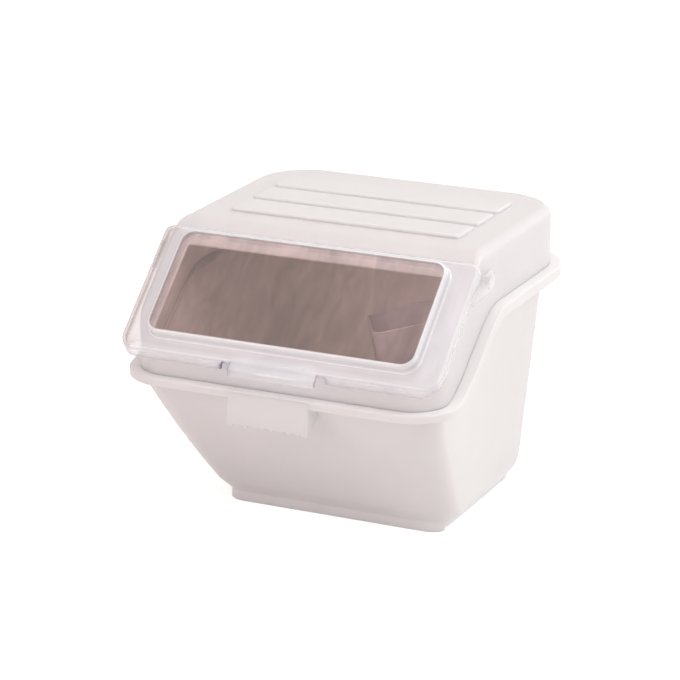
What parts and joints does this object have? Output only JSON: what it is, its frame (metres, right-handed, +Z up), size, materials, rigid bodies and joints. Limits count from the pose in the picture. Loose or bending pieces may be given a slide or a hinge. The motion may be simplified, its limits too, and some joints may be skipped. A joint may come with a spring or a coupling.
{
  "type": "ingredient storage bin",
  "caption": "White shelf bin for flour: tapered tub with a stepped rim, lift-off hood, clear flip-up lid on side studs, and a clear scoop on its clip.",
  "frame": {"origin": "on the ground under the middle of the bin's bounding box", "axes": "+X to the right seen from the front, +Y to the back, +Z up"},
  "size_m": [0.336, 0.3544, 0.2905],
  "materials": {
    "white_plastic": "satin moulded white",
    "clear_plastic": "polished clear",
    "scoop_plastic": "polished clear, faintly grey"
  },
  "bodies": {
    "bin": {"tub": "white_plastic"},
    "cover": {"hood": "white_plastic", "scoop_clip": "white_plastic"},
    "flip_lid": {"lid": "clear_plastic", "hinge_stud_left": "clear_plastic", "hinge_stud_right": "clear_plastic"},
    "hand_scoop": {"scoop": "scoop_plastic"}
  },
  "joints": [
    {"name": "hood_lift", "type": "slide", "parent": "bin", "child": "cover", "axis": [0, 0, 1], "range_m": [0, 0.09]},
    {"name": "lid_hinge", "type": "hinge", "parent": "cover", "child": "flip_lid", "pos_m": [0, -0.0455, 0.259], "axis": [-1, 0, 0], "range_deg": [0, 60]},
    {"name": "scoop_lift", "type": "slide", "parent": "cover", "child": "hand_scoop", "axis": [0, 0, 1], "range_m": [0, 0.022]}
  ]
}
